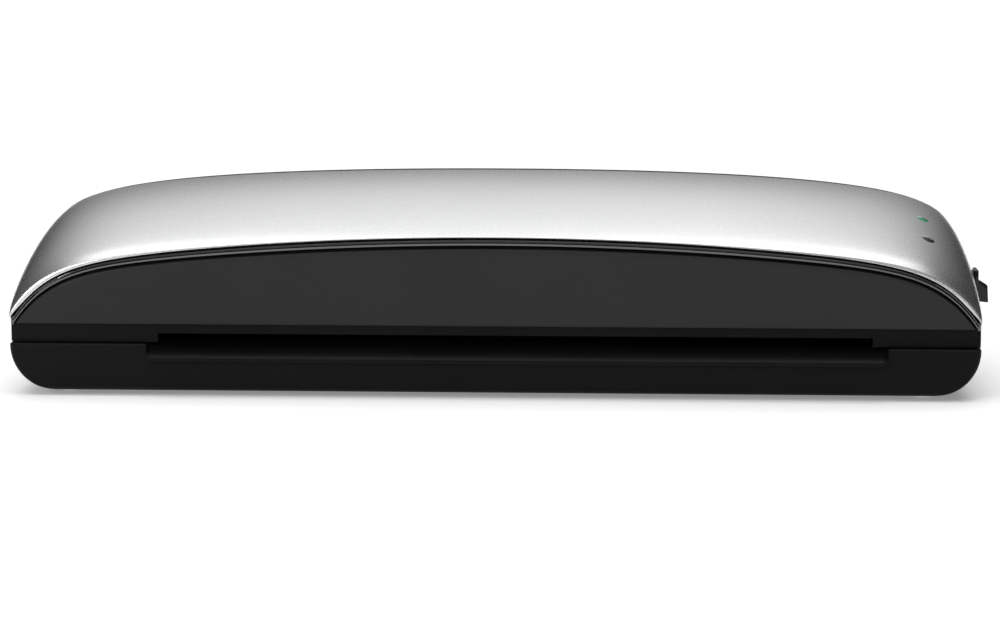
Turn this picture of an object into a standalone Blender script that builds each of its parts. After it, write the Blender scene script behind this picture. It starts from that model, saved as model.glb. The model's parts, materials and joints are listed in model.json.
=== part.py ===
"""A3 pouch laminator: casing and covers, four hot rollers with their gear drive, heater
plates, roller release, power switch and control board.

X runs to the right, Y to the back and Z up. The origin is on the ground, under the middle
of the machine. Shapes are worked out in millimetres and become metres in add_piece.
"""

import math

import bmesh
import bpy
from mathutils import Vector

MM = 0.001
GAP = 0.3  # clearance between pieces that touch

# Outside of the machine
HALF_WIDTH = 223.4
# The rocker switch stands out on the right, so the middle of the outside box, where the origin
# is, lies this far right of the casing's middle, from which every x below is measured.
BOX_MIDDLE_X = 3.15
FRONT_Y = -70.0
CREST_Y = 28.0  # back edge of the silver cover, the highest line of the machine
BACK_Y = 70.0
SIDE_TAPER = 0.0267  # share of the width lost between the front and the crest
BACK_CORNER = 16.0
FOOT_HEIGHT = 2.5
PARTING_Z = 24.4  # where the lower and the upper casing meet
BOTTOM_CORNER = 21.0
SKIRT_Z = 36.3  # lower edge of the silver cover at the two ends
FRONT_TOP_Z = 75.1
CREST_RISE = 20.3
BACK_TOP_Z = 62.0
FRONT_SAG = 0.425  # share of the front edge's height lost to its even curve
FRONT_DROP = 14  # power of the sudden fall at its two ends
FRONT_SPREAD = 3.41
CREST_SPREAD = 2.16  # exponents of the superellipse at the crest, across and up
CREST_SQUARENESS = 6.84
BLEND_POWER = 0.41  # how soon the front's form gives way to the crest's
COVER_WALL = 2.0
COVER_LIP = 1.0
UNDER_COVER = 2.75  # from the outside of the cover to the casing below it
CASING_WALL = 2.5
LEDGE_Y = -71.0  # front face of the lower casing
RECESS_Y = -66.5  # front wall behind the panel
PANEL_TOP_Z = 69.2
PANEL_BOTTOM_Z = 33.4
PANEL_HALF = 220.5
COVER_DEPTHS = (-62.0, -55.0, -44.0, -30.0, -14.0, 6.0)  # where the cover's sections are taken
GLAND = (-170.0, 14.0)

# Paper path
PATH_X = 9.5  # the path sits right of the middle, to leave room for the drive
PATH_HALF = 164.5
NIP_Z = 26.0
TRAY_SIDES = (-159.5, 180.5)
MOUTH_Z = 28.8
EXIT_Z = 29.5

# Rollers, frames and gears
ROLLER_PITCH = 19.0  # from a lower roller's axis to the upper one's
ROLLER_Y = 32.0
SLEEVE_RADIUS = 9.35
SLEEVE_HALF = 163.5
SHAFT_RADIUS = 3.0
FRAME_OFFSET = 170.0  # inner face of a side frame, from the middle of the path
FRAME_WALL = 1.5
CARRIAGE_OFFSET = 167.7
CARRIAGE_WALL = 2.0
BUSH_RADIUS = 5.0
ROLLER_TEETH = 19
IDLER_TEETH = 54
PINION_TEETH = 12
GEAR_WIDTH = 6.0
GEAR_GAP = 1.0
IDLER_AXLE = (0.0, 34.05)
PINION_AXLE = (30.0, 47.8)
MOTOR_RADIUS = 24.5
RELEASE_AXLE = (54.0, 50.0)
RELEASE_ANGLE = math.radians(40)
CAM_RADIUS = 6.0
CAM_THROW = 2.92
MOTOR_BACK_X = -198.0
BRACKET_X = (-179.7, -178.2)
SHAFT_END_X = 183.5
SWITCH_CENTRE = (-25.0, 46.2)
SWITCH_PIVOT_X = 221.0
SWITCH_HALF = 8.4  # half the height of the switch's body
READY_LENS = (199.4, -14.0)
POWER_LENS = (200.5, -39.1)
LENS_RADIUS = 2.6

LOWER_Z = NIP_Z - ROLLER_PITCH / 2
UPPER_Z = NIP_Z + ROLLER_PITCH / 2


# --- Building blocks: each returns (points, faces) in millimetres --------------------------

def on_axis(axis, along, u, v):
    """The point at `along` on the X, Y or Z axis, with (u, v) across it in X, Y, Z order."""
    return {"X": (along, u, v), "Y": (u, along, v), "Z": (u, v, along)}[axis]


def loft(rings):
    """A closed solid through rings of equal count, capped at both ends."""
    count = len(rings[0])
    points = [point for ring in rings for point in ring]
    faces = [tuple(range(count)), tuple(range(len(points) - count, len(points)))]
    for r in range(len(rings) - 1):
        for i in range(count):
            j = (i + 1) % count
            faces.append((r * count + i, r * count + j, (r + 1) * count + j, (r + 1) * count + i))
    return points, faces


def prism(outline, axis, low, high):
    return loft([[on_axis(axis, at, u, v) for u, v in outline] for at in (low, high)])


def box(low, high):
    (x0, y0, z0), (x1, y1, z1) = low, high
    return prism([(x0, y0), (x1, y0), (x1, y1), (x0, y1)], "Z", z0, z1)


def circle(centre, radius, sides):
    turn = 2 * math.pi / sides
    return [(centre[0] + radius * math.cos(turn * i), centre[1] + radius * math.sin(turn * i))
            for i in range(sides)]


def cylinder(axis, centre, radius, low, high, sides=16):
    return prism(circle(centre, radius, sides), axis, low, high)


def turned(axis, centre, profile, sides=16):
    """A ring turned from a closed profile of (radius, along) corners that misses the axis."""
    count = len(profile)
    points, faces = [], []
    for i in range(sides):
        angle = 2 * math.pi * i / sides
        for radius, along in profile:
            u = centre[0] + radius * math.cos(angle)
            v = centre[1] + radius * math.sin(angle)
            points.append(on_axis(axis, along, u, v))
        for k in range(count):
            a, b = i * count + k, i * count + (k + 1) % count
            step = count if i < sides - 1 else count - len(points)
            faces.append((a, b, b + step, a + step))
    return points, faces


def tube(axis, centre, inner, outer, low, high, sides=16):
    return turned(axis, centre, [(inner, low), (outer, low), (outer, high), (inner, high)], sides)


def thick_sheet(outer, inner):
    """A solid between two grids of points, outer and inner, joined round their rims."""
    rows, columns = len(outer), len(outer[0])
    points = [point for grid in (outer, inner) for row in grid for point in row]
    half = rows * columns
    faces = []
    for r in range(rows - 1):
        for c in range(columns - 1):
            a = r * columns + c
            quad = (a, a + 1, a + columns + 1, a + columns)
            faces.append(quad)
            faces.append(tuple(half + index for index in reversed(quad)))
    rim = list(range(columns))
    rim += [r * columns + columns - 1 for r in range(1, rows)]
    rim += [(rows - 1) * columns + c for c in range(columns - 2, -1, -1)]
    rim += [r * columns for r in range(rows - 2, 0, -1)]
    for a, b in zip(rim, rim[1:] + rim[:1]):
        faces.append((b, a, half + a, half + b))
    return points, faces


def together(*shapes):
    """Several shapes in one mesh, for a cutter."""
    points, faces = [], []
    for shape_points, shape_faces in shapes:
        start = len(points)
        points += shape_points
        faces += [tuple(start + index for index in face) for face in shape_faces]
    return points, faces


# --- Objects and materials ----------------------------------------------------------------

def material(name, colour, roughness, metallic=0.0):
    found = bpy.data.materials.get(name)
    if found:
        return found
    made = bpy.data.materials.new(name)
    made.use_nodes = True
    shader = made.node_tree.nodes["Principled BSDF"]
    shader.inputs["Base Color"].default_value = (*colour, 1)
    shader.inputs["Roughness"].default_value = roughness
    shader.inputs["Metallic"].default_value = metallic
    made.diffuse_color = (*colour, 1)
    return made


def silver_paint():
    return material("silver_paint", (0.55, 0.55, 0.56), 0.3, 0.85)


def gloss_black():
    return material("gloss_black", (0.006, 0.006, 0.007), 0.12)


def matt_black():
    return material("matt_black", (0.012, 0.012, 0.013), 0.5)


def panel_grey():
    return material("panel_grey", (0.028, 0.028, 0.029), 0.4)


def steel():
    return material("steel", (0.5, 0.5, 0.5), 0.35, 1.0)


def aluminium():
    return material("aluminium", (0.7, 0.7, 0.7), 0.4, 1.0)


def silicone():
    return material("silicone", (0.03, 0.03, 0.032), 0.6)


def white_nylon():
    return material("white_nylon", (0.75, 0.74, 0.7), 0.45)


def black_rubber():
    return material("black_rubber", (0.01, 0.01, 0.01), 0.8)


def green_lens():
    return material("green_lens", (0.02, 0.6, 0.15), 0.15)


def red_lens():
    return material("red_lens", (0.25, 0.01, 0.02), 0.15)


def board_green():
    return material("board_green", (0.02, 0.12, 0.04), 0.5)


def amber_film():
    return material("amber_film", (0.5, 0.22, 0.03), 0.4)


def add_piece(name, shape, look, origin=(0, 0, 0)):
    """One object, its origin at `origin` and its mesh in metres around it.

    Points and origin are in millimetres from the casing's middle.
    """
    points, faces = shape
    mesh = bpy.data.meshes.new(name)
    at = Vector(origin)
    mesh.from_pydata([(Vector(point) - at) * MM for point in points], [], faces)
    built = bmesh.new()
    built.from_mesh(mesh)
    bmesh.ops.recalc_face_normals(built, faces=built.faces)
    built.to_mesh(mesh)
    built.free()
    mesh.shade_smooth()
    mesh.set_sharp_from_angle(angle=math.radians(30))
    if look:
        mesh.materials.append(look)
    piece = bpy.data.objects.new(name, mesh)
    bpy.context.scene.collection.objects.link(piece)
    piece.location = (at - Vector((BOX_MIDDLE_X, 0, 0))) * MM
    return piece


def change(piece, shape, operation):
    """Cuts a shape away from the piece or joins it on, as a Boolean with a hidden helper."""
    helper = add_piece(f"{piece.name}_{operation.lower()}_{len(piece.modifiers)}", shape, None)
    helper.hide_render = True
    helper.display_type = "WIRE"
    modifier = piece.modifiers.new(operation.title(), "BOOLEAN")
    modifier.operation = operation
    modifier.object = helper
    modifier.solver = "EXACT"


def cut(piece, *shapes):
    change(piece, together(*shapes), "DIFFERENCE")


def join(piece, *shapes):
    for shape in shapes:
        change(piece, shape, "UNION")


# --- Form of the body ---------------------------------------------------------------------

def mix(a, b, share):
    return a + (b - a) * share


def depth_share(y):
    """0 at the front edge of the silver cover, 1 at its back edge and above 1 behind it."""
    return (y - FRONT_Y) / (CREST_Y - FRONT_Y)


def half_width(y):
    half = HALF_WIDTH * (1 - SIDE_TAPER * max(depth_share(y), 0) ** 2)
    past = y - (BACK_Y - BACK_CORNER)
    if past > 0:
        half -= BACK_CORNER - math.sqrt(max(BACK_CORNER ** 2 - past ** 2, 0))
    return half


def top_z(y):
    """Height of the body's middle line: rising to the crest, then falling in a round shoulder."""
    if y <= CREST_Y:
        share = depth_share(y)
        return FRONT_TOP_Z + CREST_RISE * (1 - (1 - share) ** 2)
    share = min((y - CREST_Y) / (BACK_Y - CREST_Y), 1)
    crest = FRONT_TOP_Z + CREST_RISE
    return mix(BACK_TOP_Z, crest, (1 - share ** 2.6) ** (1 / 1.8))


def arch(half, base, top, blend, count):
    """Points (x, z) of an arch from left to right, closer where it turns more.

    Blend 0 is the form of the front edge, an even curve that falls away at its two ends, and
    blend 1 that of the crest, a superellipse.
    """
    spread = mix(FRONT_SPREAD, CREST_SPREAD, blend)
    fine = []
    for i in range(401):
        angle = (i / 200 - 1) * math.pi / 2
        across = math.copysign(abs(math.sin(angle)) ** (2 / spread), angle)
        front = 1 - FRONT_SAG * across ** 2 - (1 - FRONT_SAG) * across ** FRONT_DROP
        crest = max(math.cos(angle), 0) ** (2 / CREST_SQUARENESS)
        fine.append((half * across, base + (top - base) * mix(front, crest, blend)))
    fine[0], fine[-1] = (-half, base), (half, base)
    headings = [math.atan2(b[1] - a[1], b[0] - a[0]) for a, b in zip(fine, fine[1:])]
    length = sum(math.dist(a, b) for a, b in zip(fine, fine[1:]))
    reached = [0.0]
    for i, (a, b) in enumerate(zip(fine, fine[1:])):
        turn = abs(headings[i] - headings[i - 1]) / math.pi if i else 0
        reached.append(reached[-1] + math.dist(a, b) / length + turn)
    chosen, k = [], 0
    for i in range(count):
        goal = reached[-1] * i / (count - 1)
        while k < len(fine) - 2 and reached[k + 1] < goal:
            k += 1
        share = (goal - reached[k]) / (reached[k + 1] - reached[k])
        chosen.append((mix(fine[k][0], fine[k + 1][0], share), mix(fine[k][1], fine[k + 1][1], share)))
    return chosen


def body_arch(y, inset, count, base=SKIRT_Z):
    """The arch of the body's outside at depth y, pulled in by `inset`."""
    blend = min(max(depth_share(y), 0), 1) ** BLEND_POWER
    return arch(half_width(y) - inset, base, top_z(y) - inset, blend, count)


def panel_arch(inset, count):
    """The arch of the front panel, grown by -inset."""
    return arch(PANEL_HALF - inset, PANEL_BOTTOM_Z, PANEL_TOP_Z - inset, 0, count)


# --- Casing and covers --------------------------------------------------------------------

def make_top_cover():
    """The silver cover: a shell from the thin front edge back to the crest."""
    count = 31
    depths = [FRONT_Y, -68.5, RECESS_Y, *COVER_DEPTHS, CREST_Y]
    outer = [[(x, y, z) for x, z in body_arch(y, 0, count)] for y in depths]
    inner = []
    for y in depths:
        wall = COVER_LIP if y <= RECESS_Y else COVER_WALL
        inner.append([(x, y, z) for x, z in body_arch(y, wall, count)])
    cover = add_piece("top_cover", thick_sheet(outer, inner), silver_paint())
    cut(cover, *[cylinder("Z", centre, LENS_RADIUS + GAP, 50, 100, 12)
                 for centre in (READY_LENS, POWER_LENS)], switch_opening())


def switch_opening():
    y, z = SWITCH_CENTRE
    return box((200, y - 4.9, z - SWITCH_HALF - GAP), (235, y + 4.9, z + SWITCH_HALF + GAP))


def upper_ring(y, inset, base, foot):
    """One ring of the upper casing: straight skirt below, arch above, closed at the bottom."""
    half = half_width(y)
    ledge = half - inset
    points = body_arch(y, inset, 25, base)
    return ([(-half, y, foot), (-half, y, base), (-ledge, y, base + 0.01)]
            + [(x, y, z) for x, z in points[1:-1]]
            + [(ledge, y, base + 0.01), (half, y, base), (half, y, foot)])


def inner_ring(y, wall):
    points = body_arch(y, wall, 19, SKIRT_Z)
    half = half_width(y) - wall
    return [(-half, y, PARTING_Z - 5)] + [(x, y, z) for x, z in points] + [(half, y, PARTING_Z - 5)]


def make_upper_casing():
    """The black upper casing: under the silver cover in front, the outside itself behind."""
    base = SKIRT_Z - GAP
    foot = PARTING_Z + GAP
    covered = [RECESS_Y, *COVER_DEPTHS, CREST_Y + GAP]
    open_depths = [CREST_Y + GAP + 0.02, 40, 50, 58, 64, 68, BACK_Y]
    rings = [upper_ring(y, UNDER_COVER, base, foot) for y in covered]
    rings += [upper_ring(y, 0.05, base, foot) for y in open_depths]
    casing = add_piece("upper_casing", loft(rings), matt_black())
    hollow_front = [inner_ring(y, UNDER_COVER + COVER_WALL) for y in (-64, *COVER_DEPTHS, CREST_Y)]
    hollow_back = [inner_ring(y, CASING_WALL) for y in (34, 46, 56, 63, BACK_Y - CASING_WALL)]
    cut(casing, loft(hollow_front + hollow_back))
    for x, y in casing_screw_places():
        join(casing, cylinder("Z", (x, y), 4, 8, 44, 12))
        if y < 0:
            wall_x = math.copysign(half_width(y) - 1.5, x)
            join(casing, box((min(x, wall_x), y - 1, 27), (max(x, wall_x), y + 1, 33)))
        else:
            join(casing, box((x - 1, y, 27), (x + 1, BACK_Y - 1.5, 33)))
    mouth = box((PATH_X - PATH_HALF, -80, 20), (PATH_X + PATH_HALF, -60, MOUTH_Z))
    exit_slot = box((PATH_X - PATH_HALF, 60, 20), (PATH_X + PATH_HALF, 80, EXIT_Z))
    lever_slot = box((146, 60, 36), (162, 80, 63))
    pilots = [cylinder("Z", centre, 1.5, 4, 20, 8) for centre in casing_screw_places()]
    vents = [box((x, 60, 40), (x + 3, 80, 54)) for x in range(-130, -50, 8)]
    lens_holes = [cylinder("Z", centre, LENS_RADIUS + 1, 50, 100, 12)
                  for centre in (READY_LENS, POWER_LENS)]
    cut(casing, mouth, exit_slot, lever_slot, switch_opening(), *pilots, *vents, *lens_holes)


def tub_ring(y, wall, top):
    """A ring of the lower casing: flat bottom, quarter-round bottom corners, straight sides."""
    half = half_width(y) - wall
    radius = BOTTOM_CORNER - wall
    floor = FOOT_HEIGHT + wall
    right = [(half, y, top)]
    for i in range(7):
        angle = math.pi / 2 * i / 6
        right.append((half - radius + radius * math.cos(angle), y,
                      floor + radius - radius * math.sin(angle)))
    return right + [(-x, y, z) for x, y, z in reversed(right)]


def make_lower_casing():
    """The tub that everything stands in, with the tray's notch, the vents and the bosses."""
    depths = [LEDGE_Y, -40, 0, CREST_Y, 54, 62, 67, BACK_Y]
    casing = add_piece("lower_casing", loft([tub_ring(y, 0, PARTING_Z) for y in depths]),
                       matt_black())
    inside = [LEDGE_Y + CASING_WALL, -40, 0, CREST_Y, 54, 62, BACK_Y - CASING_WALL]
    cut(casing, loft([tub_ring(y, CASING_WALL, 40) for y in inside]))
    floor = FOOT_HEIGHT + CASING_WALL
    for x in frame_tab_centres():
        join(casing, box((x - 4, -13, floor - 1), (x + 4, 13, 7.7)), cylinder("Z", (x, 0), 1.4, 7, 11, 10))
    for x, y in board_posts():
        join(casing, cylinder("Z", (x, y), 3, floor - 1, 47.7, 10))
    notch = box((TRAY_SIDES[0] - 0.5, -80, 16), (TRAY_SIDES[1] + 0.5, -66, 40))
    exit_notch = box((PATH_X - PATH_HALF - 3, 66, 19.4), (PATH_X + PATH_HALF + 3, 80, 40))
    gland_hole = cylinder("Y", (GLAND[0], GLAND[1]), 6.3, 60, 80, 14)
    floor_vents = [box((x, 10, 0), (x + 3, 40, 8)) for x in range(-110, -46, 8)]
    screws = [cylinder("Z", (x, y), 3.9, 0, 3.6, 12) for x, y in casing_screw_places()]
    shanks = [cylinder("Z", (x, y), 2.1, 0, 9, 10) for x, y in casing_screw_places()]
    cut(casing, notch, exit_notch, gland_hole, *floor_vents)
    cut(casing, *screws)
    cut(casing, *shanks)


def casing_screw_places():
    return ((-198.0, -55.0), (-186.0, 61.0), (198.0, -55.0), (186.0, 61.0))


def frame_tab_centres():
    return (PATH_X - FRAME_OFFSET + 6, PATH_X + FRAME_OFFSET - 6)


def board_posts():
    return ((189.0, -38.0), (189.0, 6.0))


def make_front_trim():
    """The gloss black band round the panel: an outer land, a step and an inner bead."""
    count = 29
    outer = body_arch(FRONT_Y, COVER_LIP + GAP, count)
    inner = panel_arch(-GAP, count)
    foot = PANEL_BOTTOM_Z - 2 * GAP
    shoulder = SKIRT_Z - GAP
    outer = ([(-HALF_WIDTH, foot), (-HALF_WIDTH, shoulder)] + outer
             + [(HALF_WIDTH, shoulder), (HALF_WIDTH, foot)])
    side, knee = inner[-1][0], PANEL_BOTTOM_Z - GAP
    inner = [(-side, foot), (-side, knee)] + inner + [(side, knee), (side, foot)]
    profile = [(0, -66.8), (0, -68.6), (0.5, -68.6), (0.5, -67.9), (0.62, -67.9), (0.62, -69.3),
               (1, -69.3), (1, -66.8)]
    rings = []
    for (x0, z0), (x1, z1) in zip(outer, inner):
        rings.append([(mix(x0, x1, share), y, mix(z0, z1, share)) for share, y in profile])
    add_piece("front_trim", loft(rings), gloss_black())


def make_front_panel():
    add_piece("front_panel", prism(panel_arch(0, 29), "Y", -69.7, RECESS_Y - GAP), panel_grey())


def make_tray():
    """The entry tray: a lip rolled down in front, a ramp up to the nip and a flat guide."""
    profile = [(-76, 19.2), (-76, 17.6), (-74.8, 16.4), (-66, 16.4), (-66, 18), (-73, 18.2),
               (-72, 19.4), (-68, 21), (-60, 22.4), (-43, 22.4), (-43, 24.2), (-60, 24.2),
               (-69, 22.9), (-75.2, 20)]
    tray = add_piece("entry_tray", prism(profile, "X", *TRAY_SIDES), matt_black())
    cut(tray, box((-170, -63, 10), (PATH_X - PATH_HALF, -40, 30)),
        box((PATH_X + PATH_HALF, -63, 10), (190, -40, 30)))


def make_exit_guide():
    profile = [(44, 22.4), (44, 23.6), (66, 23.4), (72, 22.4), (73, 21.6), (73, 20), (66, 20),
               (66, 21.4)]
    add_piece("exit_guide", prism(profile, "X", PATH_X - PATH_HALF, PATH_X + PATH_HALF),
              matt_black())


def make_feet():
    for across, side in (("left", -1), ("right", 1)):
        for along, x, y in (("front", 178, -46), ("rear", 166, 52)):
            centre = (side * x, y)
            foot = add_piece(f"foot_{along}_{across}", cylinder("Z", centre, 8, 1, 2.2, 16), black_rubber())
            join(foot, cylinder("Z", centre, 7, 0, 1.5, 16))


def make_casing_screws():
    names = ("casing_screw_front_left", "casing_screw_rear_left",
             "casing_screw_front_right", "casing_screw_rear_right")
    for name, (x, y) in zip(names, casing_screw_places()):
        screw = add_piece(name, cylinder("Z", (x, y), 3.5, 1.2, 3.3, 12), steel())
        join(screw, cylinder("Z", (x, y), 1.2, 3, 16, 8))


def surface_z(x, y):
    """Height of the outside above (x, y), where the arch passes over x."""
    points = body_arch(y, 0, 161)
    for (x0, z0), (x1, z1) in zip(points, points[1:]):
        if x0 <= x <= x1:
            return mix(z0, z1, (x - x0) / (x1 - x0))
    return SKIRT_Z


def make_lights():
    """A light pipe over each light-emitting diode of the board, its top flush with the cover."""
    for name, (x, y), look in (("ready", READY_LENS, green_lens()), ("power", POWER_LENS, red_lens())):
        rim = [(x + LENS_RADIUS * math.cos(a), y + LENS_RADIUS * math.sin(a))
               for a in [math.pi * i / 6 for i in range(12)]]
        top = [(u, v, surface_z(u, v) + 0.2) for u, v in rim]
        bottom = [(u, v, 56.5) for u, v in rim]
        add_piece(f"{name}_lens", loft([bottom, top]), look)


# --- Switch, gland and board --------------------------------------------------------------

def make_switch():
    """The switch's body behind its rim, and the rocker, whose lower half stands proud."""
    y, z = SWITCH_CENTRE
    rim, cavity = SWITCH_HALF + 1, SWITCH_HALF - 0.5
    housing = add_piece("switch_housing", box((222.7, y - 5.7, z - rim), (224.9, y + 5.7, z + rim)),
                        gloss_black())
    join(housing, box((206, y - 4.6, z - SWITCH_HALF), (223, y + 4.6, z + SWITCH_HALF)))
    cut(housing, box((211, y - 3.9, z - cavity), (230, y + 3.9, z + cavity)))
    corners = [(-2.5, 4.2), (2, 7.4), (3.4, 7.5), (4.3, 4.3), (8.3, 1.8), (8.7, -6), (3.2, -5.4),
               (-2.5, -4.2)]
    outline = [(SWITCH_PIVOT_X + u, z + v) for u, v in corners]
    pivot = (SWITCH_PIVOT_X, y, z)
    add_piece("rocker_switch", prism(outline, "Y", y - 3.55, y + 3.55), gloss_black(), pivot)


def make_gland():
    profile = [(3.6, 64), (6, 64), (6, 70.3), (8, 70.3), (7.4, 73.5), (3.6, 73.5)]
    add_piece("cable_gland", turned("Y", GLAND, profile, 14), black_rubber())


def make_board():
    board = add_piece("control_board", box((184, -44, 48), (204.5, 10, 49.6)), board_green())
    join(board, box((185, -24, 49), (195, -6, 60)), box((186, -2, 49), (198, 8, 57)),
         cylinder("Z", (199, 2), 4, 49, 60, 10),
         *[cylinder("Z", centre, 2.4, 49, 56, 10) for centre in (READY_LENS, POWER_LENS)])


# --- Frames, carriage and heaters ---------------------------------------------------------

def side_spans(near, far):
    """X ranges, low then high, of something between two offsets each side of the path."""
    return {"left": (PATH_X - far, PATH_X - near), "right": (PATH_X + near, PATH_X + far)}


def make_frames():
    outline = [(-50, 8), (62, 8), (62, 60), (46, 66), (-30, 66), (-50, 52)]
    spans = side_spans(FRAME_OFFSET, FRAME_OFFSET + FRAME_WALL)
    tabs = side_spans(FRAME_OFFSET - 12, FRAME_OFFSET + 1)
    for side, (low, high) in spans.items():
        frame = add_piece(f"frame_{side}", prism(outline, "X", low, high), steel())
        tab = tabs[side]
        join(frame, box((tab[0], -14, 8), (tab[1], 14, 9.5)), box((tab[0], -8, 64.5), (tab[1], 8, 66)))
        if side == "left":
            join(frame, cylinder("X", IDLER_AXLE, SHAFT_RADIUS, low - 15, low + 1, 14))
        holes = []
        for y in (-ROLLER_Y, ROLLER_Y):
            radius = BUSH_RADIUS + GAP
            holes.append(cylinder("X", (y, LOWER_Z), radius, low - 1, high + 1, 16))
            holes.append(box((low - 1, y - radius, UPPER_Z - radius), (high + 1, y + radius, UPPER_Z + 8)))
        holes.append(cylinder("X", RELEASE_AXLE, SHAFT_RADIUS + GAP, low - 1, high + 1, 14))
        tab_x = frame_tab_centres()[0 if side == "left" else 1]
        holes.append(cylinder("Z", (tab_x, 0), 1.8, 6, 12, 10))
        cut(frame, *holes)


def make_tie_bars():
    ends = (PATH_X - FRAME_OFFSET + GAP, PATH_X + FRAME_OFFSET - GAP)
    for name, centre in (("front", (-38, 55)), ("rear", (56, 13))):
        add_piece(f"tie_bar_{name}", cylinder("X", centre, 3, *ends, 12), steel())


def make_carriage():
    """The two plates that hold the upper rollers down and lift when the release turns."""
    outline = [(-45, 29), (45, 29), (45, 48), (48, 55.4), (63, 55.4), (63, 60), (40, 60), (36, 50),
               (-45, 50)]
    spans = side_spans(CARRIAGE_OFFSET, CARRIAGE_OFFSET + CARRIAGE_WALL)
    tabs = side_spans(CARRIAGE_OFFSET - 9, CARRIAGE_OFFSET + 1)
    for side, (low, high) in spans.items():
        plate = add_piece(f"carriage_{side}", prism(outline, "X", low, high), steel())
        join(plate, box((tabs[side][0], -8, 48.5), (tabs[side][1], 8, 50)))
        cut(plate, *[cylinder("X", (y, UPPER_Z), BUSH_RADIUS + GAP, low - 1, high + 1, 16)
                     for y in (-ROLLER_Y, ROLLER_Y)])


def spring(x, y, low, high, radius, wire, turns):
    """A coil of round wire about a vertical axis, its two ends cut flat."""
    steps, sides = 10 * turns, 4
    rings = []
    for i in range(steps + 1):
        angle = 2 * math.pi * i / 10
        height = mix(low + wire, high - wire, i / steps)
        ring = []
        for k in range(sides):
            around = 2 * math.pi * k / sides
            reach = radius + wire * math.cos(around)
            ring.append((x + reach * math.cos(angle), y + reach * math.sin(angle),
                         height + wire * math.sin(around)))
        rings.append(ring)
    return loft(rings)


def make_springs():
    for side, x in (("left", PATH_X - 163.5), ("right", PATH_X + 163.5)):
        add_piece(f"pressure_spring_{side}", spring(x, 0, 50.4, 64.1, 2.8, 0.45, 5), steel())


def make_heaters():
    """Two aluminium plates between the roller pairs, each with its heating strip outside."""
    ends = (PATH_X - FRAME_OFFSET + GAP, PATH_X + FRAME_OFFSET - GAP)
    channel = [(-18, 25), (-18, 23.5), (-17, 21.5), (-12, 21.5), (12, 21.5), (17, 21.5), (18, 23.5),
               (18, 25)]
    add_piece("lower_heater_plate", prism(channel, "X", *ends), aluminium())
    upper = [(y, 2 * NIP_Z - z) for y, z in channel]
    ends = (PATH_X - CARRIAGE_OFFSET + GAP, PATH_X + CARRIAGE_OFFSET - GAP)
    add_piece("upper_heater_plate", prism(upper, "X", *ends), aluminium())
    strip = (PATH_X - 150, PATH_X + 150)
    add_piece("lower_heating_element", box((strip[0], -11, 20), (strip[1], 11, 21.2)), amber_film())
    add_piece("upper_heating_element", box((strip[0], -11, 30.8), (strip[1], 11, 32)), amber_film())
    sensor = add_piece("thermostat", cylinder("Z", (PATH_X + 30, 0), 8, 32.3, 37, 14), steel())
    join(sensor, cylinder("Z", (PATH_X + 30, 0), 6, 36, 42, 14))


# --- Rollers and gears --------------------------------------------------------------------

def gear_outline(centre, teeth, phase):
    """Teeth of module 1 mm round the centre (y, z), one tooth's middle at the phase angle."""
    pitch = teeth / 2
    corners = ((-0.86, -1.2), (-0.3, 0.9), (0.3, 0.9), (0.86, -1.2))  # (half width, height)
    points = []
    for i in range(teeth):
        middle = phase + 2 * math.pi * i / teeth
        for across, height in corners:
            radius = pitch + height
            angle = middle + across / radius
            points.append((centre[0] + radius * math.cos(angle), centre[1] + radius * math.sin(angle)))
    return points


def mesh_phase(teeth, direction, driver_teeth, driver_phase):
    """Phase of a gear that lies in `direction` from its driver, so that the teeth interlock."""
    share = (direction - driver_phase) * driver_teeth / (2 * math.pi)
    return direction + math.pi - 2 * math.pi * (0.5 - share) / teeth


def toward(a, b):
    return math.atan2(b[1] - a[1], b[0] - a[0])


def make_gear(name, centre, teeth, phase, low, high, look, bore):
    gear = add_piece(name, prism(gear_outline(centre, teeth, phase), "X", low, high), look,
                     (0, *centre))
    if bore:
        cut(gear, cylinder("X", centre, bore, low - 1, high + 1, 14))
    return gear


def make_rollers():
    """Shaft, silicone sleeve, gear and two flanged bushes of each of the four rollers."""
    outer_face = PATH_X - FRAME_OFFSET - FRAME_WALL - GEAR_GAP
    idler_phase = toward(IDLER_AXLE, (-ROLLER_Y, LOWER_Z))
    for place, y in (("front", -ROLLER_Y), ("rear", ROLLER_Y)):
        direction = toward(IDLER_AXLE, (y, LOWER_Z))
        lower_phase = mesh_phase(ROLLER_TEETH, direction, IDLER_TEETH, idler_phase)
        upper_phase = mesh_phase(ROLLER_TEETH, math.pi / 2, ROLLER_TEETH, lower_phase)
        for level, z, phase in (("lower", LOWER_Z, lower_phase), ("upper", UPPER_Z, upper_phase)):
            name = f"{level}_{place}"
            lower = level == "lower"
            width = GEAR_WIDTH * 2 + GEAR_GAP if lower else GEAR_WIDTH
            shaft_start = outer_face - width - 0.8
            add_piece(f"{name}_shaft", cylinder("X", (y, z), SHAFT_RADIUS, shaft_start, SHAFT_END_X, 14),
                      steel(), (0, y, z))
            add_piece(f"{name}_roller", tube("X", (y, z), SHAFT_RADIUS + GAP, SLEEVE_RADIUS,
                                             PATH_X - SLEEVE_HALF, PATH_X + SLEEVE_HALF, 20),
                      silicone(), (0, y, z))
            make_gear(f"{name}_gear", (y, z), ROLLER_TEETH, phase, outer_face - width, outer_face,
                      white_nylon(), SHAFT_RADIUS + GAP)
            make_bushes(name, y, z, lower)
    return idler_phase


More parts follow.
